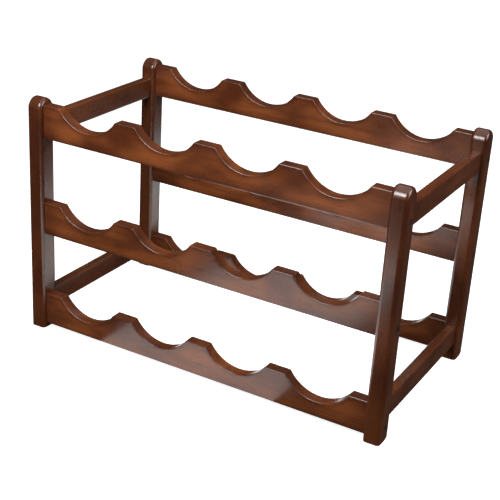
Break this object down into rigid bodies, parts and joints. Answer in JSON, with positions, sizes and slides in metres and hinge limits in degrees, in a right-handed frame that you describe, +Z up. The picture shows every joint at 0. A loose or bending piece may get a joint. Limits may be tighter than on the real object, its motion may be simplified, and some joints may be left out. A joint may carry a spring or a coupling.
{
  "type": "wine rack",
  "caption": "Free-standing tiered wine rack of stained wood: end frames of posts and side rails carry scalloped rails that cradle bottles lying front to rear.",
  "frame": {"origin": "on the floor, under the middle of the rack's bounding box", "axes": "+X along the rack to the right as seen from the front, +Y from front to rear, +Z up"},
  "size_m": [0.474, 0.253, 0.293],
  "materials": {
    "stained_bamboo": "satin lacquer over a walnut stain",
    "dowel_beech": "unfinished",
    "screw_steel": "yellow zinc plated"
  },
  "bodies": {
    "root": {"front_left_post": "stained_bamboo", "front_right_post": "stained_bamboo", "rear_left_post": "stained_bamboo", "rear_right_post": "stained_bamboo", "left_bottom_side_rail": "stained_bamboo", "left_top_side_rail": "stained_bamboo", "right_bottom_side_rail": "stained_bamboo", "right_top_side_rail": "stained_bamboo", "front_bottom_bottle_rail": "stained_bamboo", "front_middle_bottle_rail": "stained_bamboo", "front_top_bottle_rail": "stained_bamboo", "rear_bottom_bottle_rail": "stained_bamboo", "rear_middle_bottle_rail": "stained_bamboo", "rear_top_bottle_rail": "stained_bamboo", "rail_screw_front_bottom_left": "screw_steel", "rail_dowel_front_bottom_left": "dowel_beech", "rail_screw_front_bottom_right": "screw_steel", "rail_dowel_front_bottom_right": "dowel_beech", "rail_screw_front_middle_left": "screw_steel", "rail_dowel_front_middle_left": "dowel_beech", "rail_screw_front_middle_right": "screw_steel", "rail_dowel_front_middle_right": "dowel_beech", "rail_screw_front_top_left": "screw_steel", "rail_dowel_front_top_left": "dowel_beech", "rail_screw_front_top_right": "screw_steel", "rail_dowel_front_top_right": "dowel_beech", "rail_screw_rear_bottom_left": "screw_steel", "rail_dowel_rear_bottom_left": "dowel_beech", "rail_screw_rear_bottom_right": "screw_steel", "rail_dowel_rear_bottom_right": "dowel_beech", "rail_screw_rear_middle_left": "screw_steel", "rail_dowel_rear_middle_left": "dowel_beech", "rail_screw_rear_middle_right": "screw_steel", "rail_dowel_rear_middle_right": "dowel_beech", "rail_screw_rear_top_left": "screw_steel", "rail_dowel_rear_top_left": "dowel_beech", "rail_screw_rear_top_right": "screw_steel", "rail_dowel_rear_top_right": "dowel_beech", "frame_dowel_left_bottom_front_lower": "dowel_beech", "frame_dowel_left_bottom_front_upper": "dowel_beech", "frame_dowel_left_bottom_rear_lower": "dowel_beech", "frame_dowel_left_bottom_rear_upper": "dowel_beech", "frame_dowel_left_top_front_lower": "dowel_beech", "frame_dowel_left_top_front_upper": "dowel_beech", "frame_dowel_left_top_rear_lower": "dowel_beech", "frame_dowel_left_top_rear_upper": "dowel_beech", "frame_dowel_right_bottom_front_lower": "dowel_beech", "frame_dowel_right_bottom_front_upper": "dowel_beech", "frame_dowel_right_bottom_rear_lower": "dowel_beech", "frame_dowel_right_bottom_rear_upper": "dowel_beech", "frame_dowel_right_top_front_lower": "dowel_beech", "frame_dowel_right_top_front_upper": "dowel_beech", "frame_dowel_right_top_rear_lower": "dowel_beech", "frame_dowel_right_top_rear_upper": "dowel_beech"}
  },
  "joints": []
}
